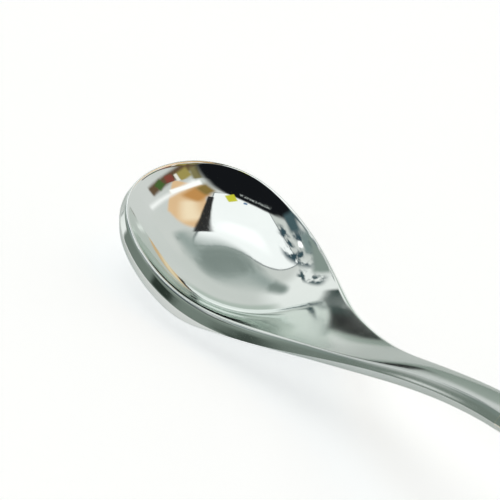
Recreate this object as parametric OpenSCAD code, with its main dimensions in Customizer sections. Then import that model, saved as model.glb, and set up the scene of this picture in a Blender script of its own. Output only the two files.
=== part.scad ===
// Serving spoon with a forged bowl and a hollow handle.
// The bowl, its long neck and the tang are one forging. The handle is two pressed half shells
// brazed together along their side seams, slipped over the tang, brazed to the neck's shoulder
// and filled with setting cement. Lengths are in millimetres.
// X runs along the spoon, from the bowl's tip to the handle's end, Y is across it, Z is up.
// It lies as on a table: the foot under the bowl and the end of the handle touch Z = 0.

/* [Overall] */
// Length from the bowl's tip to the handle's end
overall_length = 250; // [238:1:262]

/* [Bowl] */
// Width over the rim's outer edge
bowl_width = 51; // [48:0.5:54]
// Distance from the tip to the widest place
bowl_widest = 30.2; // [28.5:0.1:32]
// Depth from the rim down to the inside of the bottom
bowl_depth = 8; // [7:0.1:9]
// Thickness of the middle of the bottom
bottom_wall = 2.2; // [1.9:0.1:2.8]
// Lean of the rim as the spoon lies, tip upward, in degrees
rim_lean = 15; // [13:0.1:17]
// Further lift of the rim at the tip
tip_lift = 3.6; // [2:0.1:4.5]

/* [Rim] */
// Width of the sloping rim, seen from above
rim_run = 1.8; // [1.5:0.1:2.2]
// Height of the sloping rim
rim_drop = 3.1; // [2.7:0.1:3.5]
// Size of the rounding along the rim's inner edge
rim_round = 1.8; // [1:0.1:2.2]
// Height of the upright edge below the sloping rim
rim_skirt = 2.4; // [1.8:0.1:2.8]

/* [Neck] */
// Width of the neck
neck_width = 9; // [8.6:0.1:10]
// Distance from the tip to where the bowl's taper ends
neck_start = 145; // [138:0.5:146]
// Hollowness of the taper's outline
taper_power = 1.69; // [1.55:0.01:1.8]
// Climb of the neck from the table, in degrees
neck_climb = 19.6; // [18:0.1:21]
// Distance from the tip to the bend between bowl and neck
bend_at = 60.2; // [57:0.2:64]
// Length over which that bend is spread
bend_spread = 10.6; // [9:0.1:12]
// Depth of the trough that runs on from the bowl into the neck
trough_depth = 1.3; // [0.8:0.1:1.6]
// Distance from the tip to the middle of the trough
trough_at = 92; // [89:0.5:95]
// Length of the trough on each side of its middle
trough_half = 32; // [28:0.5:36]

/* [Handle] */
// Distance from the tip to the joint between neck and handle
handle_start = 150; // [146:0.5:156]
// Width of the handle near its end
handle_end_width = 18.5; // [16:0.5:21]
// Length of the rounded end
end_round = 10; // [8:0.5:12]
// Distance from the tip to the crest of the handle's arch
crest_at = 163; // [158:0.5:168]
// Length over which the arch is spread
crest_spread = 14; // [11:0.5:17]
// Height of the handle's upper side at its edges, above the side seam
shoulder_height = 1.3; // [1.2:0.1:1.6]
// Further height of the handle's crowned top
crown_height = 1.1; // [0.7:0.1:1.5]
// Depth of the handle's underside below the side seam
handle_depth = 2.8; // [2.6:0.1:3.3]
// Sheet thickness of the two half shells
shell_wall = 0.8; // [0.6:0.05:0.9]
// Thickness of the brazed joints
braze_thick = 0.16; // [0.1:0.02:0.24]

/* [Tang] */
// Length of the tang inside the handle
tang_length = 44; // [36:1:52]
// Width of the tang at its root
tang_width = 5; // [4:0.1:5.4]
// Thickness of the tang at its root
tang_thick = 2; // [1.6:0.1:2.2]
// Size of the tang's end as a share of its root
tang_taper = 0.7; // [0.5:0.05:0.9]
// Length of the cement beyond the tang's end
cement_past = 14; // [8:1:20]

/* [Foot] */
// Depth of the flat ground under the bowl
foot_cut = 0.2; // [0.12:0.01:0.3]

/* [Hidden] */

half_bowl = bowl_width / 2;
half_neck = neck_width / 2;
half_end = handle_end_width / 2;
taper_length = neck_start - bowl_widest;
end_start = overall_length - end_round;
lean = tan(rim_lean);
climb = tan(neck_climb);
handle_reach = end_start - handle_start;

// Fullness of the nose's outline, chosen so that its curvature runs on into the taper's.
nose_full = 1 - pow(bowl_widest, 2) / half_bowl * (half_bowl - half_neck)
    * taper_power * PI * PI / 2 / pow(taper_length, 2);
// Exponents of the bowl's sections: inside, steep by the rim and easing toward the neck, and outside.
wall_power = 1.8;
run_out_power = 0.9;
outside_power = 1.32;
// Stretch over which the inside eases.
run_out_from = 30;
run_out_to = 85;
// Slope of the rim in the bowl, of the neck's upper side and of its underside.
rim_slope = rim_drop / rim_run;
neck_slope = 2.3;
under_slope = 1.9;
// Rounding along the neck and handle.
neck_round = 2;
// Stretch over which the bowl's section turns into the neck's.
section_from = 62;
section_to = 115;
// Stretch over which the upright edge fades away.
skirt_from = 45;
skirt_to = 73.5;
// Drop of the handle's crown and underside toward its edges.
crown_fall = 1;
under_fall = 0.25;
// Step for slopes taken by difference, and step of the search for the lowest places.
probe = 0.01;
scan_step = 0.25;

// Rows along the outline and columns from the outline to the axis.
nose_rows = 18;
taper_rows = 36;
handle_rows = 24;
end_rows = 8;
rim_columns = [0, 0.7, 1.3, 1.75, 2.2, 2.65, 3.2, 4.2];
field_columns = 6;
rim_zone = rim_columns[len(rim_columns) - 1];
zone_share = 0.62;
columns = len(rim_columns) - 1 + field_columns;
// Where the first and last row meet the axis, as shares of the nose and of the rounded end.
nose_spine = 0.6;
end_spine = 0.15;

function within(t) = min(1, max(0, t));
function ease(t) = let (c = within(t)) c * c * c * (c * (6 * c - 15) + 10);
function mix(a, b, t) = a + (b - a) * t;
function ramp(x, s) = s * ln(1 + exp(x / s));
function soft_min(a, b, k) = let (h = max(0, k - abs(a - b)) / k) min(a, b) - h * h * k / 4;

// Outline: the square of its half width, so that tip and end are smooth.
function nose_share(x) = let (u = 1 - x / bowl_widest) (1 - u * u) * (1 + nose_full * u * u);
function taper_share(x) = pow((1 + cos(180 * within((x - bowl_widest) / taper_length))) / 2, taper_power);
function body_half(x) = half_neck + (half_bowl - half_neck) * taper_share(x)
    + (half_end - half_neck) * ease((x - handle_start) / handle_reach);
function end_share(x) = 1 - pow(max(0, (x - end_start) / end_round), 2);
function width_sq(x) = x < bowl_widest ? pow(half_bowl, 2) * nose_share(x)
    : pow(body_half(x), 2) * end_share(x);
function half_width(x) = sqrt(max(0, width_sq(x)));
function pull(x) = (width_sq(x + probe) - width_sq(x - probe)) / (4 * probe);
function reach(x) = sqrt(pow(pull(x), 2) + max(0, width_sq(x)));
// Distance of a place inside the outline from the outline.
function inset(x, y) = let (p = pull(x)) sqrt(p * p + max(0, width_sq(x))) - sqrt(p * p + y * y);

// Sections: height above and depth below the outline's edge.
function turn(x) = ease((x - section_from) / (section_to - section_from));
function fill(x, y) = within((width_sq(x) - y * y) / pow(half_bowl, 2));
function across(x, y) = y * y / max(probe, width_sq(x));
rim_fill = (2 * half_bowl - rim_run) * rim_run / pow(half_bowl, 2);
under_depth = bowl_depth - rim_drop + bottom_wall;
function run_out(x) = ease((x - run_out_from) / (run_out_to - run_out_from));
function inside_power(x) = mix(wall_power, run_out_power, run_out(x));
function trough(x, y) = let (along = max(0, 1 - pow((x - trough_at) / trough_half, 2)))
    trough_depth * along * along * max(0, 1 - across(x, y));
function inside(x, y) = mix(
    rim_drop - bowl_depth + bowl_depth * pow((1 - fill(x, y)) / (1 - rim_fill), inside_power(x)),
    shoulder_height + crown_height * (1 - crown_fall * across(x, y)),
    turn(x)) - trough(x, y);
function side_slope(x) = mix(rim_slope, neck_slope, turn(x));
function edge_round(x) = mix(rim_round, neck_round, turn(x));
function above(x, y) = soft_min(inside(x, y), side_slope(x) * inset(x, y), edge_round(x));
function skirt(x) = rim_skirt * (1 - ease((x - skirt_from) / (skirt_to - skirt_from)));
function edge_skirt(x) = let (s = skirt(x) * (1 - turn(x))) s < probe ? 0 : s;
function below(x, y) = mix(
    skirt(x) + (under_depth - skirt(x)) * (1 - pow(1 - fill(x, y), outside_power)),
    soft_min(handle_depth * (1 - under_fall * across(x, y)), under_slope * inset(x, y), neck_round),
    turn(x));
// The same for the hollow inside the handle, one sheet thickness further in.
function skin_inset(slope) = shell_wall * sqrt(1 + 1 / (slope * slope));
upper_inset = skin_inset(neck_slope);
lower_inset = skin_inset(under_slope);
shell_inset = max(upper_inset, lower_inset);
function above_in(x, y) = soft_min(
    inside(x, y) - shell_wall, neck_slope * (inset(x, y) - upper_inset), neck_round);
function below_in(x, y) = soft_min(
    handle_depth * (1 - under_fall * across(x, y)) - shell_wall,
    under_slope * (inset(x, y) - lower_inset), neck_round);

// Height of the outline's edge along the spoon. The bowl's foot and the handle's end set it on the table.
function edge_free(x) = tip_lift * pow(max(0, 1 - x / bowl_widest), 3) - lean * (x - bowl_widest)
    + (lean + climb) * ramp(x - bend_at, bend_spread);
function arch(x) = ramp(x - crest_at, crest_spread);
base = -min([for (x = [bowl_widest : scan_step : bend_at]) edge_free(x) - below(x, 0)]) - foot_cut;
arch_drop = min([for (x = [end_start - end_round : scan_step : overall_length])
    (base + edge_free(x) - below(x, 0)) / arch(x)]);
function edge(x) = base + edge_free(x) - arch_drop * arch(x);

// Rows of places on the outline.
row_pitch = handle_reach / handle_rows;
bowl_rows = concat(
    [for (i = [0 : nose_rows]) bowl_widest * (1 - cos(90 * i / nose_rows))],
    [for (i = [1 : taper_rows]) mix(bowl_widest, handle_start, i / taper_rows)]);
shell_rows = concat(
    [handle_start + braze_thick],
    [for (i = [1 : handle_rows]) handle_start + i * row_pitch],
    [for (i = [1 : end_rows]) end_start + end_round * sin(90 * i / end_rows)]);
tang_steps = round(tang_length / row_pitch);
cement_steps = tang_steps + round(cement_past / row_pitch);
tang_rows = concat([handle_start], [for (i = [0 : tang_steps]) shell_rows[i]]);
cement_rows = [for (i = [0 : cement_steps]) shell_rows[i]];

// A row runs from one edge across the axis to the other; start is its distance from the edge.
function column_share(k) = k <= columns ? k : 2 * columns - k;
function column_distance(j, span, start) = let (
        zone = min(rim_zone, zone_share * span),
        last = len(rim_columns) - 1,
        raw = j <= last ? rim_columns[j] / rim_zone * zone : mix(zone, span, (j - last) / field_columns))
    start + raw * (span - start) / span;
// It leaves the edge squarely and bends to its own place on the axis, so that rows never cross.
function spine(x) = x < bowl_widest ? mix(nose_spine * bowl_widest, bowl_widest, x / bowl_widest)
    : x > end_start ? mix(end_start, end_start + end_spine * end_round, (x - end_start) / end_round)
    : x + pull(x);
function place(x, k, start) = let (
        span = reach(x),
        t = column_distance(column_share(k), span, start) / span,
        square = x + pull(x) * t,
        side = k <= columns ? -1 : 1)
    [square + (spine(x) - x - pull(x)) * t * t, side * half_width(x) * (1 - t)];
function row(x, start, height) = [for (k = [0 : 2 * columns])
    let (p = place(x, k, start), at_edge = k == 0 || k == 2 * columns)
    [p.x, p.y, edge(p.x) + height(p.x, p.y, at_edge)]];
function centred(points) = [for (p = points) [p.x - overall_length / 2, p.y, p.z]];
function joined(lists) = [for (l = lists) each l];

upper = function (x, y, at_edge) at_edge ? 0 : above(x, y);
lower = function (x, y, at_edge) at_edge ? -edge_skirt(x) : -below(x, y);
upper_out = function (x, y, at_edge) max(braze_thick / 2, at_edge ? 0 : above(x, y));
upper_in = function (x, y, at_edge) max(braze_thick / 2, at_edge ? 0 : above_in(x, y));
lower_out = function (x, y, at_edge) -max(braze_thick / 2, at_edge ? 0 : below(x, y));
lower_in = function (x, y, at_edge) -max(braze_thick / 2, at_edge ? 0 : below_in(x, y));

// A closed section: the upper row and the lower row back.
function section(x, start, top, bottom) = let (a = row(x, start, top), b = row(x, start, bottom))
    concat(a, [for (k = [2 * columns - 1 : -1 : 1]) b[k]]);
// The tang's section: the neck's, made smaller about its middle.
neck_loop = section(handle_start, 0, upper, lower);
neck_top = above(handle_start, 0);
neck_low = below(handle_start, 0);
function tang_loop(x) = let (
        s = mix(1, tang_taper, (x - handle_start) / (row_pitch * tang_steps)),
        middle = (neck_top - neck_low) / 2)
    [for (p = neck_loop) [
        x,
        p.y * s * tang_width / neck_width,
        edge(x) + middle + (p.z - edge(handle_start) - middle) * s * tang_thick / (neck_top + neck_low)]];

// Faces between two neighbouring rows of n points from number a and number b on.
function strip(a, b, n, closed) = [for (k = [0 : n - (closed ? 1 : 2)])
    let (m = (k + 1) % n) each [[a + k, b + m, b + k], [a + k, a + m, b + m]]];
function strips(first, count, n, closed) = [for (i = [0 : count - 2])
    each strip(first + i * n, first + (i + 1) * n, n, closed)];
function flipped(faces) = [for (f = faces) [f[0], f[2], f[1]]];
function fan(first, n) = [for (k = [1 : n - 2]) [first, first + k, first + k + 1]];

module solid(points, faces) {
    set = centred(points);
    whole = [for (f = faces)
        if (set[f[0]] != set[f[1]] && set[f[1]] != set[f[2]] && set[f[2]] != set[f[0]]) f];
    polyhedron(points = set, faces = whole, convexity = 6);
}

// Bowl, neck, shoulder and tang.
module bowl() {
    n = 2 * columns + 1;
    rows = len(bowl_rows);
    ring = len(neck_loop);
    skin = joined(concat(
        [for (x = bowl_rows) row(x, 0, upper)],
        [for (x = bowl_rows) row(x, 0, lower)]));
    loops = joined(concat([neck_loop], [for (x = tang_rows) tang_loop(x)]));
    low = rows * n;
    far = n - 1;
    sides = [for (i = [0 : rows - 2]) let (a = i * n, b = (i + 1) * n) each [
        [a, low + b, low + a],
        [a, b, low + b],
        [a + far, low + b + far, b + far],
        [a + far, low + a + far, low + b + far]]];
    stem = len(skin);
    count = len(tang_rows) + 1;
    color([0.77, 0.79, 0.78])
        difference() {
            solid(concat(skin, loops), concat(
                strips(0, rows, n, false),
                flipped(strips(low, rows, n, false)),
                sides,
                strips(stem, count, ring, true),
                fan(stem + (count - 1) * ring, ring)));
            below_table();
        }
}

// The space under the table's plane, which the bowl's foot is ground flat against.
module below_table() {
    translate([-overall_length, -bowl_width, -bowl_width])
        cube([2 * overall_length, 2 * bowl_width, bowl_width]);
}

// One half of the handle, from its outer and inner heights.
module half_shell(outside_height, inside_height, up) {
    n = 2 * columns + 1;
    rows = len(shell_rows);
    outer = joined([for (x = shell_rows) row(x, 0, outside_height)]);
    inner = joined([for (x = shell_rows) row(x, shell_inset, inside_height)]);
    far = n - 1;
    second = len(outer);
    seams = [for (i = [0 : rows - 2]) let (a = i * n, b = (i + 1) * n) each [
        [a, second + b, second + a],
        [a, b, second + b],
        [a + far, second + b + far, b + far],
        [a + far, second + a + far, second + b + far]]];
    faces = concat(
        strips(0, rows, n, false),
        flipped(strips(second, rows, n, false)),
        strip(second, 0, n, false),
        seams);
    solid(concat(outer, inner), up ? faces : flipped(faces));
}

module handle_upper_shell() {
    color([0.73, 0.75, 0.74])
        half_shell(upper_out, upper_in, true);
}

module handle_lower_shell() {
    color([0.69, 0.71, 0.70])
        half_shell(lower_out, lower_in, false);
}

// Braze along both side seams and round the end, one strip.
module handle_seam_braze() {
    near = [for (x = shell_rows) seam_section(x, 0)];
    far = [for (x = shell_rows) seam_section(x, 2 * columns)];
    last = len(shell_rows) - 1;
    path = concat(near, [for (i = [last - 1 : -1 : 0]) far[i]]);
    corners = 4;
    color([0.72, 0.66, 0.50])
        solid(joined(path), concat(
            flipped(fan(0, corners)),
            strips(0, len(path), corners, true),
            fan((len(path) - 1) * corners, corners)));
}

function seam_section(x, k) = let (
        a = place(x, k, 0),
        b = place(x, k, shell_inset),
        h = braze_thick / 2)
    [[a.x, a.y, edge(a.x) - h],
     [a.x, a.y, edge(a.x) + h],
     [b.x, b.y, edge(b.x) + h],
     [b.x, b.y, edge(b.x) - h]];

// Braze ring between the neck's shoulder and the mouth of the handle.
module neck_braze() {
    stations = [handle_start, handle_start + braze_thick];
    ring = len(neck_loop);
    outer = [for (x = stations) section(x, 0, upper, lower)];
    inner = [for (x = stations) section(x, shell_inset, upper_in, lower_in)];
    color([0.72, 0.66, 0.50])
        solid(joined(concat(outer, inner)), concat(
            strip(0, ring, ring, true),
            flipped(strip(2 * ring, 3 * ring, ring, true)),
            strip(2 * ring, 0, ring, true),
            strip(ring, 3 * ring, ring, true)));
}

// Cement round the tang and a little beyond its end.
module tang_cement() {
    ring = len(neck_loop);
    outer = [for (x = cement_rows) section(x, shell_inset, upper_in, lower_in)];
    core = [for (i = [0 : tang_steps]) tang_loop(shell_rows[i])];
    first = len(outer) * ring;
    color([0.52, 0.47, 0.40])
        solid(joined(concat(outer, core)), concat(
            strips(0, len(outer), ring, true),
            fan((len(outer) - 1) * ring, ring),
            strip(first, 0, ring, true),
            flipped(strips(first, len(core), ring, true)),
            flipped(fan(first + tang_steps * ring, ring))));
}

bowl();
handle_upper_shell();
handle_lower_shell();
handle_seam_braze();
neck_braze();
tang_cement();
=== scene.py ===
"""Serving spoon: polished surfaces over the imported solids, a pale floor, a soft studio and the camera."""

import math
from collections import namedtuple

import bmesh
import bpy
import numpy as np
from mathutils import Matrix, Vector


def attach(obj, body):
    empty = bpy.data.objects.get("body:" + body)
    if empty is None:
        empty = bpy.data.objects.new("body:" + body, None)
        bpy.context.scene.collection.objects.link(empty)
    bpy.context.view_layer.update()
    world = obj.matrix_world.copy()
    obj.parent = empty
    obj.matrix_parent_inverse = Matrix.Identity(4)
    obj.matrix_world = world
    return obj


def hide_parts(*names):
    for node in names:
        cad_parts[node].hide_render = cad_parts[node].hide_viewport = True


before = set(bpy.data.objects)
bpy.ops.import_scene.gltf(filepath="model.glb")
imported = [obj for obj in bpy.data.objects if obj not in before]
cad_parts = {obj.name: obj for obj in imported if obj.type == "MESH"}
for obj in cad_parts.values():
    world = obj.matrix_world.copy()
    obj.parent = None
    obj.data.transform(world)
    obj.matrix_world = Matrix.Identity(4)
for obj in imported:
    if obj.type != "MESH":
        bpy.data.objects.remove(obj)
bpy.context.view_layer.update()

MM = 0.001

# Sizes of the part, as in its source, in millimetres and degrees. Places along it count from the tip.
# Powers, slopes and shares are plain numbers.
overall_length = 250.0
# Bowl
bowl_width = 51.0  # over the rim's outer edge
bowl_widest = 30.2  # place of the greatest width
bowl_depth = 8.0  # from the rim down to the inside of the bottom
bottom_wall = 2.2  # thickness of the middle of the bottom
rim_lean = 15.0  # lean of the rim, tip upward
tip_lift = 3.6  # further lift of the rim at the tip
# Rim
rim_run = 1.8  # width of the sloping rim, seen from above
rim_drop = 3.1  # height of the sloping rim
rim_round = 1.8  # rounding along its inner edge
rim_skirt = 2.4  # height of the upright edge below it
# Neck
neck_width = 9.0
neck_start = 145.0  # where the bowl's taper ends
taper_power = 1.69  # hollowness of the taper's outline
neck_climb = 19.6  # climb of the neck from the table
bend_at = 60.2  # bend between bowl and neck
bend_spread = 10.6  # length over which the bend is spread
trough_depth = 1.3  # depth of the trough that runs on from the bowl into the neck
trough_at = 92.0  # middle of the trough
trough_half = 32.0  # its length on each side of the middle
# Handle
handle_start = 150.0  # joint between neck and handle
handle_end_width = 18.5  # width of the handle near its end
end_round = 10.0  # length of the rounded end
crest_at = 163.0  # crest of the handle's arch
crest_spread = 14.0  # length over which the arch is spread
shoulder_height = 1.3  # height of the upper side at its edges, above the side seam
crown_height = 1.1  # further height of the crowned top
handle_depth = 2.8  # depth of the underside below the side seam
shell_wall = 0.8  # sheet thickness of the two half shells
braze_thick = 0.16  # thickness of the brazed joints
# Tang and foot
tang_length = 44.0
tang_width = 5.0  # at the tang's root
tang_thick = 2.0  # at the tang's root
tang_taper = 0.7  # size of the tang's end as a share of its root
foot_cut = 0.2  # depth of the flat ground under the bowl
# Exponents of the bowl's sections: inside, steep by the rim and easing toward the neck, and outside.
wall_power = 1.8
run_out_power = 0.9
outside_power = 1.32
# Stretches over which the inside eases, the section turns into the neck's and the upright edge fades away.
run_out_from, run_out_to = 30.0, 85.0
section_from, section_to = 62.0, 115.0
skirt_from, skirt_to = 45.0, 73.5
# Slopes of the neck's upper side and underside, the rounding along them, and the drop of the handle's crown
# and underside toward its edges.
neck_slope = 2.3
under_slope = 1.9
neck_round = 2.0
crown_fall = 1.0
under_fall = 0.25
# Where the first and last row meet the axis, as shares of the nose and of the rounded end.
nose_spine = 0.6
end_spine = 0.15
# Step for slopes taken by difference, and step of the search for the lowest places.
probe = 0.01
scan_step = 0.25

half_bowl = bowl_width / 2
half_neck = neck_width / 2
half_end = handle_end_width / 2
taper_length = neck_start - bowl_widest
end_start = overall_length - end_round
handle_reach = end_start - handle_start
lean = math.tan(math.radians(rim_lean))
climb = math.tan(math.radians(neck_climb))
# Fullness of the nose's outline, chosen so that its curvature runs on into the taper's.
nose_full = 1 - (bowl_widest ** 2 / half_bowl * (half_bowl - half_neck)
                 * taper_power * math.pi ** 2 / 2 / taper_length ** 2)
rim_slope = rim_drop / rim_run
rim_fill = (2 * half_bowl - rim_run) * rim_run / half_bowl ** 2
under_depth = bowl_depth - rim_drop + bottom_wall
upper_inset = shell_wall * math.sqrt(1 + 1 / neck_slope ** 2)
lower_inset = shell_wall * math.sqrt(1 + 1 / under_slope ** 2)
shell_inset = max(upper_inset, lower_inset)

# Fineness of the meshes: rows along the spoon, and the points of a row from the outline to the axis, close
# together over the rim's zone and wider over the field.
NOSE_ROWS = 57
TAPER_ROWS = 181
TANG_ROWS = 24
HANDLE_ROWS = 121
END_ROWS = 33
RIM_ZONE = 4.6
ZONE_SHARE = 0.62
RIM_SHARES = np.concatenate([[0, 0.05], np.linspace(0.09, 1, 22)])
FIELD_STEPS = 26
SEAM_CORNERS = 4
# Rounding of the upright edge's corners, and the steps round each.
CORNER_SOFT = 0.3
CORNER_STEPS = (0.33, 0.67)
# Edges sharper than this, in degrees, stay sharp. Points and slivers under these sizes, in metres, go.
SHARP_ANGLE = 40
WELD = 2e-6
SLIVER = 1e-7


def ease(t):
    """From 0 to 1 with no jump in slope or curvature at the ends."""
    t = np.clip(t, 0, 1)
    return t * t * t * (t * (6 * t - 15) + 10)


def mix(a, b, t):
    return a + (b - a) * t


def ramp(x, s):
    """Nothing before 0, x after it, with a bend of size s between."""
    return s * np.logaddexp(0, x / s)


def soft_min(a, b, k):
    """The lower of two heights, with a rounding of size k where they cross."""
    h = np.maximum(0, k - np.abs(a - b)) / k
    return np.minimum(a, b) - h * h * k / 4


# Outline


def width_sq(x):
    """The square of the outline's half width, so that tip and end are smooth."""
    u = 1 - x / bowl_widest
    nose = half_bowl ** 2 * (1 - u * u) * (1 + nose_full * u * u)
    t = np.clip((x - bowl_widest) / taper_length, 0, 1)
    body = (half_neck + (half_bowl - half_neck) * ((1 + np.cos(np.pi * t)) / 2) ** taper_power
            + (half_end - half_neck) * ease((x - handle_start) / handle_reach))
    end = 1 - np.maximum(0, (x - end_start) / end_round) ** 2
    return np.where(x < bowl_widest, nose, body ** 2 * end)


def half_width(x):
    return np.sqrt(np.maximum(0, width_sq(x)))


def pull(x):
    """How far along the spoon a line square to the outline goes on its way to the axis."""
    return (width_sq(x + probe) - width_sq(x - probe)) / (4 * probe)


def reach(x):
    """Length of that line."""
    return np.sqrt(pull(x) ** 2 + np.maximum(0, width_sq(x)))


def inset(x, y):
    """Distance of a place inside the outline from the outline."""
    p = pull(x)
    return np.sqrt(p * p + np.maximum(0, width_sq(x))) - np.sqrt(p * p + y * y)


# Sections: height above and depth below the outline's edge


def turn(x):
    """0 in the bowl, 1 in the neck and handle."""
    return ease((x - section_from) / (section_to - section_from))


def fill(x, y):
    """0 at the edge, 1 on the axis at the bowl's widest place."""
    return np.clip((width_sq(x) - y * y) / half_bowl ** 2, 0, 1)


def across(x, y):
    """0 on the axis, 1 at the edge."""
    return y * y / np.maximum(probe, width_sq(x))


def trough(x, y):
    """Depth of the shallow trough where the bowl runs into the neck."""
    along = np.maximum(0, 1 - ((x - trough_at) / trough_half) ** 2) ** 2
    return trough_depth * along * np.maximum(0, 1 - across(x, y))


def inside_power(x):
    return mix(wall_power, run_out_power, ease((x - run_out_from) / (run_out_to - run_out_from)))


def inside(x, y):
    """The hollow of the bowl, running on into the crown of the neck and handle."""
    p = inside_power(x)
    hollow = rim_drop - bowl_depth + bowl_depth * ((1 - fill(x, y)) / (1 - rim_fill)) ** p
    crown = shoulder_height + crown_height * (1 - crown_fall * across(x, y))
    return mix(hollow, crown, turn(x)) - trough(x, y)


def above(x, y):
    """Height above the edge: the inside, cut off by the sloping rim or the neck's side."""
    slope = mix(rim_slope, neck_slope, turn(x))
    return soft_min(inside(x, y), slope * inset(x, y), mix(rim_round, neck_round, turn(x)))


def skirt(x):
    """Depth of the bowl's underside at the edge."""
    return rim_skirt * (1 - ease((x - skirt_from) / (skirt_to - skirt_from)))


def edge_skirt(x):
    """Height of the upright edge below the rim."""
    return skirt(x) * (1 - turn(x))


def grip_depth(x, y):
    return handle_depth * (1 - under_fall * across(x, y))


def below(x, y):
    """Depth below the edge: the bowl's underside, turning into the neck's and the handle's."""
    bowl_low = skirt(x) + (under_depth - skirt(x)) * (1 - (1 - fill(x, y)) ** outside_power)
    grip = soft_min(grip_depth(x, y), under_slope * inset(x, y), neck_round)
    return mix(bowl_low, grip, turn(x))


def above_in(x, y):
    """The same as above, one sheet thickness further in."""
    return soft_min(inside(x, y) - shell_wall, neck_slope * (inset(x, y) - upper_inset), neck_round)


def below_in(x, y):
    """The same as below, one sheet thickness further in."""
    return soft_min(grip_depth(x, y) - shell_wall, under_slope * (inset(x, y) - lower_inset), neck_round)


def upper_out(x, y):
    return np.maximum(braze_thick / 2, above(x, y))


def lower_out(x, y):
    return -np.maximum(braze_thick / 2, below(x, y))


def upper_in(x, y):
    return np.maximum(braze_thick / 2, above_in(x, y))


def lower_in(x, y):
    return -np.maximum(braze_thick / 2, below_in(x, y))


def underside(x, y):
    return -below(x, y)


# Height of the outline's edge: the bowl's foot and the handle's end set it on the table


def edge_free(x):
    """The edge's line before it is set on the table and the handle is arched down."""
    return (tip_lift * np.maximum(0, 1 - x / bowl_widest) ** 3 - lean * (x - bowl_widest)
            + (lean + climb) * ramp(x - bend_at, bend_spread))


def arch(x):
    """How far a place lies past the handle's crest, eased in over the crest."""
    return ramp(x - crest_at, crest_spread)


bowl_scan = np.arange(bowl_widest, bend_at, scan_step)
base = -np.min(edge_free(bowl_scan) - below(bowl_scan, 0 * bowl_scan)) - foot_cut
end_scan = np.arange(end_start - end_round, overall_length + probe, scan_step)
arch_drop = np.min((base + edge_free(end_scan) - below(end_scan, 0 * end_scan)) / arch(end_scan))


def edge(x):
    return base + edge_free(x) - arch_drop * arch(x)


# Rows of points


def spine(x):
    """Where a row meets the axis."""
    nose = mix(nose_spine * bowl_widest, bowl_widest, x / bowl_widest)
    end = mix(end_start, end_start + end_spine * end_round, (x - end_start) / end_round)
    return np.where(x < bowl_widest, nose, np.where(x > end_start, end, x + pull(x)))


def row_places(x, start):
    """Plan places of one row, from a distance inside the edge to the axis, on +Y."""
    whole = reach(x)
    zone = min(RIM_ZONE, ZONE_SHARE * whole)
    raw = np.concatenate([RIM_SHARES * zone, np.linspace(zone, whole, FIELD_STEPS + 1)[1:]])
    t = (start + raw * (whole - start) / whole) / whole
    px = x + pull(x) * t + (spine(x) - x - pull(x)) * t * t
    return px, half_width(x) * (1 - t)


def on(x, y, z):
    return np.stack([x, y, z], -1)


def other_side(points):
    return points * np.array([1, -1, 1])


def bezier(a, b, c, t):
    return a * (1 - t) ** 2 + b * 2 * t * (1 - t) + c * t * t


def half_loop(x):
    """One side of the forging's section on +Y: from the axis on top, round the edge, to the axis below."""
    px, py = row_places(x, 0)
    z = edge(px)
    top = on(px, py, z + above(px, py))
    low = on(px, py, np.maximum(0, z - below(px, py)))
    upright = edge_skirt(px[0])
    rim = np.array([px[0], py[0], z[0]])
    foot = rim - np.array([0, 0, upright])
    down = np.array([0, 0, min(upright / 2, CORNER_SOFT)])
    corner = [bezier(top[1], rim, rim - down, t) for t in CORNER_STEPS]
    corner += [rim - down, (rim + foot) / 2, foot + down]
    corner += [bezier(foot + down, foot, low[1], t) for t in CORNER_STEPS]
    return np.concatenate([top[:0:-1], corner, low[1:]])


def whole_loop(x):
    half = half_loop(x)
    return np.concatenate([half, other_side(half)[-2:0:-1]])


def tang_loop(x, neck):
    """The tang's section: the neck's, made smaller about its middle."""
    top, low = above(handle_start, 0.0), below(handle_start, 0.0)
    middle = (top - low) / 2
    share = mix(1, tang_taper, (x - handle_start) / tang_length)
    rise = neck[:, 2] - edge(handle_start) - middle
    return on(np.full(len(neck), x),
              neck[:, 1] * share * tang_width / neck_width,
              edge(x) + middle + rise * share * tang_thick / (top + low))


def full_row(x, start, height):
    """A row from the near edge over the axis to the far edge, half a braze away from the seam's plane."""
    px, py = row_places(x, start)
    h = height(px, py)
    h[0] = math.copysign(braze_thick / 2, h[-1])
    far = on(px, py, edge(px) + h)
    return np.concatenate([other_side(far), far[-2::-1]])


def section(x, start, top, low):
    """A closed section: the upper row and the lower row back."""
    a, b = full_row(x, start, top), full_row(x, start, low)
    for r in (a, b):
        r[0, 2] = r[-1, 2] = edge(r[0, 0])
    return np.concatenate([a, b[-2:0:-1]])


def seam_corners(x, side):
    """The corners of the seam's section at one row, on one side of the spoon."""
    h = braze_thick / 2
    corners = []
    for start, heights in ((0, (-h, h)), (shell_inset, (h, -h))):
        px, py = row_places(x, start)
        corners += [(px[0], side * py[0], edge(px[0]) + height) for height in heights]
    return np.array(corners)


# Rows of the handle, closer together over its rounded end
SHELL_ROWS = np.concatenate([
    [handle_start + braze_thick],
    np.linspace(handle_start, end_start, HANDLE_ROWS)[1:],
    end_start + end_round * np.sin(np.linspace(0, math.pi / 2, END_ROWS))[1:]])


# Pieces


def grid_faces(first, rows, n, closed):
    """Faces between neighbouring rows of n points, from point number first on."""
    faces = []
    for i in range(rows - 1):
        a, b = first + i * n, first + (i + 1) * n
        for k in range(n if closed else n - 1):
            m = (k + 1) % n
            faces.append((a + k, a + m, b + m, b + k))
    return faces


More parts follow.
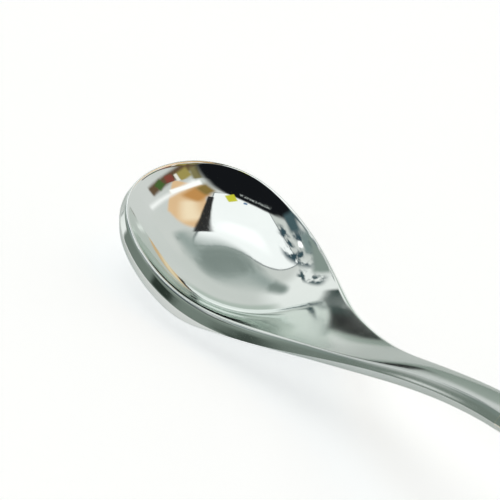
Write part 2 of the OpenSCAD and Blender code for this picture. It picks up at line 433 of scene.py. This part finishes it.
def make(name, points, faces, node):
    """A closed mesh that stands for one node. Its points are in millimetres, with X from the tip."""
    centred = np.asarray(points) - np.array([overall_length / 2, 0, 0])
    data = bpy.data.meshes.new(name)
    data.from_pydata((centred * MM).tolist(), [], faces)
    bm = bmesh.new()
    bm.from_mesh(data)
    bmesh.ops.remove_doubles(bm, verts=bm.verts, dist=WELD)
    bmesh.ops.dissolve_degenerate(bm, edges=bm.edges, dist=SLIVER)
    bmesh.ops.recalc_face_normals(bm, faces=bm.faces)
    bm.to_mesh(data)
    bm.free()
    data.polygons.foreach_set("use_smooth", [True] * len(data.polygons))
    data.set_sharp_from_angle(angle=math.radians(SHARP_ANGLE))
    piece = bpy.data.objects.new(name, data)
    bpy.context.scene.collection.objects.link(piece)
    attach(piece, "root")
    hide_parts(node)
    return piece


def make_bowl():
    """Bowl, neck, shoulder and tang."""
    nose = bowl_widest * (1 - np.cos(np.linspace(0, math.pi / 2, NOSE_ROWS)))
    taper = np.linspace(bowl_widest, handle_start, TAPER_ROWS)[1:]
    loops = [whole_loop(x) for x in np.concatenate([nose, taper])]
    neck = loops[-1]
    n = len(neck)
    loops += [tang_loop(x, neck) for x in np.linspace(handle_start, handle_start + tang_length, TANG_ROWS)]
    faces = grid_faces(0, len(loops), n, True)
    faces.append(tuple(range((len(loops) - 1) * n, len(loops) * n)))
    return make("bowl_forging", np.concatenate(loops), faces, "bowl")


def make_shell(name, node, outer, inner):
    """One half of the handle, from its outer and inner heights."""
    out = [full_row(x, 0, outer) for x in SHELL_ROWS]
    inn = [full_row(x, shell_inset, inner) for x in SHELL_ROWS]
    rows, n = len(out), len(out[0])
    second = rows * n
    faces = grid_faces(0, rows, n, False) + grid_faces(second, rows, n, False)
    for k in range(n - 1):
        faces.append((k, k + 1, second + k + 1, second + k))
    for i in range(rows - 1):
        a, b = i * n, (i + 1) * n
        for c in (0, n - 1):
            faces.append((a + c, b + c, second + b + c, second + a + c))
    return make(name, np.concatenate(out + inn), faces, node)


def make_seam():
    """Braze along both side seams and round the end, one strip."""
    near = [seam_corners(x, -1) for x in SHELL_ROWS]
    far = [seam_corners(x, 1) for x in SHELL_ROWS]
    path = near + far[-2::-1]
    last = (len(path) - 1) * SEAM_CORNERS
    faces = grid_faces(0, len(path), SEAM_CORNERS, True)
    faces += [tuple(range(first, first + SEAM_CORNERS)) for first in (0, last)]
    return make("handle_seam_bead", np.concatenate(path), faces, "handle_seam_braze")


def make_ring():
    """Braze between the neck's shoulder and the mouth of the handle: two outer loops and two inner ones."""
    stations = (handle_start, handle_start + braze_thick)
    loops = [section(x, 0, above, underside) for x in stations]
    loops += [section(x, shell_inset, upper_in, lower_in) for x in stations]
    n = len(loops[0])
    faces = []
    for a, b in ((0, 1), (1, 3), (3, 2), (2, 0)):
        for k in range(n):
            m = (k + 1) % n
            faces.append((a * n + k, a * n + m, b * n + m, b * n + k))
    return make("neck_braze_ring", np.concatenate(loops), faces, "neck_braze")


# Nodes of materials


def link(tree, a, b):
    tree.links.new(a, b)


def object_place(tree):
    return tree.nodes.new("ShaderNodeTexCoord").outputs["Object"]


def noise(tree, vector, scale, detail, rough=0.5):
    n = tree.nodes.new("ShaderNodeTexNoise")
    n.inputs["Scale"].default_value = scale
    n.inputs["Detail"].default_value = detail
    n.inputs["Roughness"].default_value = rough
    link(tree, vector, n.inputs["Vector"])
    return n.outputs["Fac"]


def vector_math(tree, kind, vector, other):
    n = tree.nodes.new("ShaderNodeVectorMath")
    n.operation = kind
    n.inputs[1].default_value = other
    link(tree, vector, n.inputs[0])
    return n


def stretched(tree, vector, scale):
    return vector_math(tree, "MULTIPLY", vector, scale).outputs["Vector"]


def dot(tree, vector, axis):
    return vector_math(tree, "DOT_PRODUCT", vector, axis).outputs["Value"]


def calc(tree, kind, a, b):
    n = tree.nodes.new("ShaderNodeMath")
    n.operation = kind
    for i, v in enumerate((a, b)):
        if isinstance(v, (int, float)):
            n.inputs[i].default_value = v
        else:
            link(tree, v, n.inputs[i])
    return n.outputs["Value"]


def span(tree, value, low, high, to_low, to_high, smooth=False):
    """A value between low and high, carried over to the span from to_low to to_high."""
    n = tree.nodes.new("ShaderNodeMapRange")
    n.interpolation_type = "SMOOTHSTEP" if smooth else "LINEAR"
    for key, v in (("From Min", low), ("From Max", high), ("To Min", to_low), ("To Max", to_high)):
        n.inputs[key].default_value = v
    link(tree, value, n.inputs["Value"])
    return n.outputs["Result"]


def rising(tree, value, low, high):
    return span(tree, value, low, high, 0, 1, True)


def falling(tree, value, low, high):
    return span(tree, value, low, high, 1, 0, True)


def tint(tree, value, dark, light):
    """A noise's colour: dark at the low end of its band, light at the high end."""
    n = tree.nodes.new("ShaderNodeValToRGB")
    for stop, place, colour in zip(n.color_ramp.elements, NOISE_BAND, (dark, light)):
        stop.position = place
        stop.color = (*colour, 1)
    link(tree, value, n.inputs["Fac"])
    return n.outputs["Color"]


def blend(tree, share, a, b, label):
    """From colour a to colour b by a share, each a colour or a socket."""
    n = tree.nodes.new("ShaderNodeMix")
    n.label = label
    n.data_type = "RGBA"
    link(tree, share, n.inputs["Factor"])
    for key, v in (("A", a), ("B", b)):
        if isinstance(v, tuple):
            n.inputs[key].default_value = (*v, 1)
        else:
            link(tree, v, n.inputs[key])
    return n.outputs["Result"]


def bump(tree, height, distance, under=None):
    """A normal bent by a height over a distance in millimetres, starting from another normal if given."""
    n = tree.nodes.new("ShaderNodeBump")
    n.inputs["Strength"].default_value = 1.0
    n.inputs["Distance"].default_value = distance * MM
    link(tree, height, n.inputs["Height"])
    if under:
        link(tree, under, n.inputs["Normal"])
    return n.outputs["Normal"]


def new_material(name):
    """A material, its empty tree of nodes and the surface socket of its output."""
    material = bpy.data.materials.new(name)
    material.use_nodes = True
    tree = material.node_tree
    tree.nodes.clear()
    return material, tree, tree.nodes.new("ShaderNodeOutputMaterial").inputs["Surface"]


def new_surface(name, metallic):
    """A material, its tree of nodes and the sockets of its shader."""
    material, tree, surface = new_material(name)
    shader = tree.nodes.new("ShaderNodeBsdfPrincipled")
    shader.inputs["Metallic"].default_value = metallic
    link(tree, shader.outputs["BSDF"], surface)
    return material, tree, shader.inputs


# Materials. Scales of noise are per metre, places along the spoon are in millimetres from its middle.

# A noise turns from its dark colour to its light one between these values.
NOISE_BAND = (0.3, 0.7)

# Painted shade: the steel is lighter where it faces along BOWL_UP, which is square to the rim's plane, as
# in the bowl's hollow, and darker on faces turned away from it and toward the handle, where the lighter
# share fades.
BOWL_UP = (math.sin(math.radians(rim_lean)), 0.0, math.cos(math.radians(rim_lean)))
HOLLOW_FACING = (0.50, 0.66)
PAINTED_LIGHT_FADES = (-52.0, -20.0)
BRIGHT_GLANCE = (0.90, 0.93, 0.91)
DULL_GLANCE = (0.58, 0.62, 0.595)
# Each steel has a bright colour and a dull one painted as shade, its least roughness and the height of its
# waves in millimetres.
BOWL_STEEL = {"bright": (0.81, 0.835, 0.815), "dull": (0.61, 0.635, 0.62), "smooth": 0.03, "wave": 0.03}
SHELL_STEEL = {"bright": (0.80, 0.825, 0.805), "dull": (0.60, 0.625, 0.61), "smooth": 0.035, "wave": 0.035}
# Faint patches, lighter and hazier.
PATCH_SCALE = 55
PATCH_DETAIL = 3
PATCH_LIFT = 0.04
HAZE_BAND = (0.35, 0.75)
HAZE_RISE = 0.03
# Fine rubbed lines: their noise is ten times as close across the spoon as along it.
LINE_STRETCH = (260, 2600, 2600)
LINE_DETAIL = 2
LINE_BREAKUP = 0.6
LINE_BAND = (0.58, 0.72)
LINE_RISE = 0.05
# The neck and handle are rubbed duller than the bowl.
RUBBED_STRETCH = (-75.0, -45.0)
RUBBED_RISE = 0.085
# Slow waves of the surface, and finer ones as a share of their height.
WAVE_SCALE = 70
WAVE_DETAIL = 1
FINE_WAVE_SCALE = 350
FINE_WAVE_SHARE = 0.13

BRAZE_SCALE = 900
BRAZE_DETAIL = 4
BRAZE_DARK = (0.60, 0.57, 0.47)
BRAZE_LIGHT = (0.76, 0.73, 0.63)
BRAZE_ROUGHNESS = (0.14, 0.3)

CEMENT_SCALE = 700
CEMENT_DETAIL = 6
CEMENT_DARK = (0.20, 0.17, 0.13)
CEMENT_LIGHT = (0.36, 0.31, 0.25)
CEMENT_ROUGHNESS = (0.6, 0.85)
CEMENT_BUMP = 0.08


def polished_steel(name, bright, dull, smooth, wave):
    """Mirror-polished steel: slow waviness, fine rubbed lines along the spoon and faint dull patches."""
    material, tree, sockets = new_surface(name, 1.0)
    coordinates = tree.nodes.new("ShaderNodeTexCoord")
    where = coordinates.outputs["Object"]
    along = dot(tree, where, (1, 0, 0))

    # Painted shade: base colour and glance turn from bright to dull where faces turn away from BOWL_UP and
    # toward the handle.
    facing = rising(tree, dot(tree, coordinates.outputs["Normal"], BOWL_UP), *HOLLOW_FACING)
    bowl_side_share = falling(tree, along, *(x * MM for x in PAINTED_LIGHT_FADES))
    painted_light_share = calc(tree, "MULTIPLY", facing, bowl_side_share)
    link(tree, blend(tree, painted_light_share, DULL_GLANCE, BRIGHT_GLANCE, "glance"), sockets["Specular Tint"])

    patch = noise(tree, where, PATCH_SCALE, PATCH_DETAIL)
    shades = [tint(tree, patch, c, tuple(v + PATCH_LIFT for v in c)) for c in (dull, bright)]
    link(tree, blend(tree, painted_light_share, *shades, "painted_light_share"), sockets["Base Color"])

    lines = noise(tree, stretched(tree, where, LINE_STRETCH), 1, LINE_DETAIL, LINE_BREAKUP)
    rough = calc(tree, "ADD",
                 span(tree, patch, *HAZE_BAND, smooth, smooth + HAZE_RISE),
                 span(tree, lines, *LINE_BAND, 0, LINE_RISE))
    rubbed = span(tree, along, *(x * MM for x in RUBBED_STRETCH), 0, RUBBED_RISE, True)
    link(tree, calc(tree, "ADD", rough, rubbed), sockets["Roughness"])

    slow = noise(tree, where, WAVE_SCALE, WAVE_DETAIL)
    fine = noise(tree, where, FINE_WAVE_SCALE, WAVE_DETAIL)
    normal = bump(tree, fine, wave * FINE_WAVE_SHARE, bump(tree, slow, wave))
    link(tree, normal, sockets["Normal"])
    return material


def braze_metal(name):
    material, tree, sockets = new_surface(name, 1.0)
    grain = noise(tree, object_place(tree), BRAZE_SCALE, BRAZE_DETAIL)
    link(tree, tint(tree, grain, BRAZE_DARK, BRAZE_LIGHT), sockets["Base Color"])
    link(tree, span(tree, grain, *NOISE_BAND, *BRAZE_ROUGHNESS), sockets["Roughness"])
    return material


def set_cement(name):
    material, tree, sockets = new_surface(name, 0.0)
    grain = noise(tree, object_place(tree), CEMENT_SCALE, CEMENT_DETAIL)
    link(tree, tint(tree, grain, CEMENT_DARK, CEMENT_LIGHT), sockets["Base Color"])
    link(tree, span(tree, grain, *NOISE_BAND, *CEMENT_ROUGHNESS), sockets["Roughness"])
    link(tree, bump(tree, grain, CEMENT_BUMP), sockets["Normal"])
    return material


# Camera: turned from the near side toward the handle's end, raised and rolled, in degrees. Its place is in
# millimetres from the spoon's middle, and its height is counted from base, as the edge's height is.
CAMERA_TURN, CAMERA_RISE, CAMERA_ROLL = 62.0383, 25.0061, 4.6062
CAMERA_X, CAMERA_Y, CAMERA_HEIGHT = 179.751, -138.356, 143.4
CAMERA_LENS = 94.36
CAMERA_SENSOR = 36
# Nearest and furthest distance that it sees, in metres.
CAMERA_CLIP = (0.01, 50)


def turned(a, b, angle):
    """Two square axes turned in their own plane, a toward b."""
    return a * math.cos(angle) + b * math.sin(angle), b * math.cos(angle) - a * math.sin(angle)


def make_camera():
    turn_by, rise_by, roll_by = (math.radians(a) for a in (CAMERA_TURN, CAMERA_RISE, CAMERA_ROLL))
    level = math.cos(rise_by)
    back = Vector((math.sin(turn_by) * level, -math.cos(turn_by) * level, math.sin(rise_by)))
    right = Vector((math.cos(turn_by), math.sin(turn_by), 0))
    right, up = turned(right, back.cross(right), roll_by)
    data = bpy.data.cameras.new("camera")
    data.sensor_fit = "HORIZONTAL"
    data.sensor_width = CAMERA_SENSOR
    data.lens = CAMERA_LENS
    data.clip_start, data.clip_end = CAMERA_CLIP
    camera = bpy.data.objects.new("camera", data)
    bpy.context.scene.collection.objects.link(camera)
    matrix = Matrix((right, up, back)).transposed().to_4x4()
    matrix.translation = Vector((CAMERA_X, CAMERA_Y, base + CAMERA_HEIGHT)) * MM
    camera.matrix_world = matrix
    bpy.context.scene.camera = camera


# Floor: half its size in metres, its colours, and the glow that makes it white where it is seen.
FLOOR_HALF = 4
FLOOR_CELLS = 8
FLOOR_SCALE = 3
FLOOR_DETAIL = 2
FLOOR_DARK = (0.86, 0.87, 0.86)
FLOOR_LIGHT = (0.88, 0.88, 0.88)
FLOOR_GLOW_COLOUR = (0.97, 0.975, 1.0)
FLOOR_GLOW = 0.495


def floor_white(name):
    """A matt white that also glows for the camera and in reflections, but lights nothing else."""
    material, tree, surface = new_material(name)
    matt = tree.nodes.new("ShaderNodeBsdfDiffuse")
    grain = noise(tree, object_place(tree), FLOOR_SCALE, FLOOR_DETAIL)
    link(tree, tint(tree, grain, FLOOR_DARK, FLOOR_LIGHT), matt.inputs["Color"])
    path = tree.nodes.new("ShaderNodeLightPath").outputs
    seen = calc(tree, "MAXIMUM", path["Is Camera Ray"], path["Is Glossy Ray"])
    seen = calc(tree, "MAXIMUM", seen, path["Is Transmission Ray"])
    glow = tree.nodes.new("ShaderNodeEmission")
    glow.inputs["Color"].default_value = (*FLOOR_GLOW_COLOUR, 1)
    link(tree, calc(tree, "MULTIPLY", seen, FLOOR_GLOW), glow.inputs["Strength"])
    both = tree.nodes.new("ShaderNodeAddShader")
    link(tree, matt.outputs["BSDF"], both.inputs[0])
    link(tree, glow.outputs["Emission"], both.inputs[1])
    link(tree, both.outputs["Shader"], surface)
    return material


def make_floor():
    bm = bmesh.new()
    bmesh.ops.create_grid(bm, x_segments=FLOOR_CELLS, y_segments=FLOOR_CELLS, size=FLOOR_HALF)
    data = bpy.data.meshes.new("floor")
    bm.to_mesh(data)
    bm.free()
    data.materials.append(floor_white("floor_white"))
    floor = bpy.data.objects.new("floor", data)
    bpy.context.scene.collection.objects.link(floor)


# Studio: cards and lamps far round the spoon, on a pale ground. A card has its heading and height in
# degrees, half its width and height as tangents, its lean in degrees, the softness of its edge and its
# colour. Some are mottled by a noise of the scale given last. The later ones lie over the earlier ones.
Card = namedtuple("Card", "name heading height wide high lean soft colour mottle", defaults=(None,))
FAR_CARDS = [
    Card("bright end card", 178, 27, 0.36, 0.30, 0, 0.08, (0.92, 0.95, 0.93)),
    Card("low card behind the tip", 148, 10, 0.16, 0.30, 0, 0.06, (0.50, 0.57, 0.52)),
    Card("black card behind the tip", 161.5, 6, 0.125, 0.092, 22, 0.015, (0.008, 0.009, 0.008)),
    Card("slim dark card above it", 172, 12.5, 0.17, 0.035, 32, 0.03, (0.05, 0.075, 0.07)),
    Card("warm card", 68, 61, 0.50, 0.21, 22, 0.02, (0.86, 0.58, 0.33)),
    Card("cream middle of the warm card", 80, 64, 0.22, 0.08, 10, 0.07, (1.05, 0.86, 0.60)),
    Card("copper end of the warm card", 38, 58, 0.12, 0.12, 10, 0.05, (0.62, 0.31, 0.10)),
    Card("olive end of the warm card", 21, 56, 0.08, 0.10, 10, 0.04, (0.28, 0.19, 0.055)),
    Card("plain card beside it", 112, 49, 0.26, 0.17, 12, 0.03, (0.69, 0.715, 0.69)),
    Card("frame of the light", 206, 81.6, 0.442, 0.612, -45, 0.008, (0.05, 0.07, 0.08)),
    Card("soft light above", 206, 81.6, 0.43, 0.60, -45, 0.008, (1.08, 1.11, 1.11)),
    Card("bright middle of the light", 152, 68, 0.16, 0.10, 0, 0.09, (1.30, 1.32, 1.32)),
    Card("dark bar beside the light", 86, 71.6, 0.41, 0.034, -14, 0.010, (0.03, 0.03, 0.03)),
    Card("brown card below the warm one", 44, 34, 0.45, 0.07, 5, 0.03, (0.14, 0.09, 0.05)),
    Card("green card on the brown one", 58, 34.5, 0.07, 0.06, 10, 0.02, (0.075, 0.145, 0.04)),
    Card("red card on the brown one", 45, 34.5, 0.06, 0.055, -8, 0.02, (0.26, 0.07, 0.05)),
    Card("gold card on the brown one", 31, 36, 0.09, 0.07, 15, 0.025, (0.40, 0.33, 0.10)),
    Card("pale card on the brown one", 37.5, 36.5, 0.022, 0.06, 0, 0.01, (0.95, 0.93, 0.85)),
    Card("olive card by the drape", 20, 38, 0.06, 0.10, 0, 0.03, (0.25, 0.22, 0.10)),
    Card("long lamp", 60, 45.5, 0.46, 0.03, -12, 0.045, (1.10, 1.11, 1.10)),
    Card("end of the long lamp", 38, 47, 0.22, 0.035, -8, 0.02, (1.22, 1.22, 1.20)),
    Card("grey card past the light", 147, 47.5, 0.32, 0.06, -28, 0.06, (0.36, 0.42, 0.40)),
]
NEAR_CARDS = [
    Card("yellow card by the drape", 349, 71, 0.07, 0.075, 10, 0.012, (0.68, 0.66, 0.05)),
    Card("blue card by the drape", 306, 74.5, 0.03, 0.02, 15, 0.01, (0.12, 0.235, 0.41)),
    Card("dark teal card by the drape", 233, 42.5, 0.10, 0.09, 0, 0.035, (0.07, 0.12, 0.135)),
    Card("teal card under the mottled one", 218, 34.5, 0.11, 0.09, 0, 0.045, (0.22, 0.29, 0.285)),
    Card("low side", 232, 10, 0.50, 0.36, 0, 0.12, (0.24, 0.29, 0.255)),
    Card("dim card beside the low side", 208, 26, 0.21, 0.13, 0, 0.05, (0.27, 0.33, 0.30)),
    Card("dark card over the low side", 234, 29, 0.06, 0.045, 0, 0.02, (0.035, 0.05, 0.04)),
    Card("white card left of it", 207, 3, 0.12, 0.07, 0, 0.03, (1.35, 1.37, 1.35)),
    Card("dark card in the low side", 239, 13, 0.055, 0.06, 0, 0.02, (0.035, 0.05, 0.04)),
    Card("mottled card beside the light", 212, 46, 0.20, 0.22, 0, 0.06, (0.04, 0.08, 0.10), 9),
    Card("mottled card behind the tip", 188, 33, 0.07, 0.17, 0, 0.04, (0.06, 0.10, 0.11), 9),
    Card("mottled part of the grey card", 147, 47.5, 0.30, 0.06, -28, 0.06, (0.24, 0.29, 0.27), 6),
    Card("row of small lamps in the drape", 286, 66, 0.30, 0.018, 18, 0.01, (0.45, 0.48, 0.47), 45),
    Card("small lamp", 217, 42, 0.03, 0.03, 0, 0.015, (1.6, 1.6, 1.6)),
]
# A card ends where directions run so far to its side, by the cosine from its middle.
CARD_ENDS = (0.02, 0.1)
MOTTLE_DETAIL = 4
MOTTLE_BAND = (0.44, 0.57)
GROUND_SCALE = 1.4
GROUND_DETAIL = 2
GROUND_DARK = (0.655, 0.69, 0.663)
GROUND_LIGHT = (0.715, 0.735, 0.718)
# The dark drape behind the camera: away from its top's axis, above its foot's plane, and on one side. Each
# has its axis and the edge over which it fades, by the cosine from the axis.
DRAPE_TOP = (-0.537, 0.709, 0.457)
DRAPE_TOP_EDGE = (0.145, 0.185)
DRAPE_FOOT = (-0.294, 0.630, 0.719)
DRAPE_FOOT_EDGE = (-0.03, 0.03)
DRAPE_SIDE = (0.574, -0.819, 0.0)
DRAPE_SIDE_EDGE = (0.20, 0.30)
DRAPE_COLOUR = (0.008, 0.009, 0.011)


def direction(heading, height):
    az, el = math.radians(heading), math.radians(height)
    return Vector((math.cos(az) * math.cos(el), math.sin(az) * math.cos(el), math.sin(el)))


def card_share(tree, sky, card):
    """How much of a direction lies on a card: 1 inside, 0 outside, with a soft edge between."""
    middle = direction(card.heading, card.height)
    side = Vector((0, 0, 1)).cross(middle).normalized()
    side, top = turned(side, middle.cross(side), math.radians(card.lean))
    ahead = dot(tree, sky, middle)
    share = rising(tree, ahead, *CARD_ENDS)
    ahead = calc(tree, "MAXIMUM", ahead, CARD_ENDS[0])
    for axis, size in ((side, card.wide), (top, card.high)):
        tangent = calc(tree, "DIVIDE", dot(tree, sky, axis), ahead)
        inner = falling(tree, calc(tree, "ABSOLUTE", tangent, 0), size - card.soft, size + card.soft)
        share = calc(tree, "MULTIPLY", share, inner)
    if card.mottle:
        blots = rising(tree, noise(tree, sky, card.mottle, MOTTLE_DETAIL), *MOTTLE_BAND)
        share = calc(tree, "MULTIPLY", share, blots)
    return share


def drape_share(tree, sky):
    """How much of a direction lies on the drape."""
    share = falling(tree, dot(tree, sky, DRAPE_TOP), *DRAPE_TOP_EDGE)
    for axis, edge_band in ((DRAPE_FOOT, DRAPE_FOOT_EDGE), (DRAPE_SIDE, DRAPE_SIDE_EDGE)):
        share = calc(tree, "MULTIPLY", share, rising(tree, dot(tree, sky, axis), *edge_band))
    return share


def make_studio():
    world = bpy.data.worlds.new("studio")
    world.use_nodes = True
    bpy.context.scene.world = world
    tree = world.node_tree
    tree.nodes.clear()
    sky = tree.nodes.new("ShaderNodeTexCoord").outputs["Generated"]
    colour = tint(tree, noise(tree, sky, GROUND_SCALE, GROUND_DETAIL), GROUND_DARK, GROUND_LIGHT)
    for card in FAR_CARDS:
        colour = blend(tree, card_share(tree, sky, card), colour, card.colour, card.name)
    colour = blend(tree, drape_share(tree, sky), colour, DRAPE_COLOUR, "drape")
    for card in NEAR_CARDS:
        colour = blend(tree, card_share(tree, sky, card), colour, card.colour, card.name)
    light = tree.nodes.new("ShaderNodeBackground")
    link(tree, colour, light.inputs["Color"])
    light.inputs["Strength"].default_value = 1.0
    out = tree.nodes.new("ShaderNodeOutputWorld")
    link(tree, light.outputs["Background"], out.inputs["Surface"])


make_camera()
bowl = make_bowl()
upper = make_shell("handle_upper_half", "handle_upper_shell", upper_out, upper_in)
lower = make_shell("handle_lower_half", "handle_lower_shell", lower_out, lower_in)
seam = make_seam()
ring = make_ring()

steel = polished_steel("polished_steel", **BOWL_STEEL)
shell_steel = polished_steel("shell_steel", **SHELL_STEEL)
braze = braze_metal("braze")
finishes = ((bowl, steel), (upper, shell_steel), (lower, shell_steel), (seam, braze), (ring, braze))
for piece, material in finishes:
    piece.data.materials.append(material)
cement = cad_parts["tang_cement"]
cement.data.materials.clear()
cement.data.materials.append(set_cement("set_cement"))

make_floor()
make_studio()
bpy.context.scene.view_settings.view_transform = "Standard"
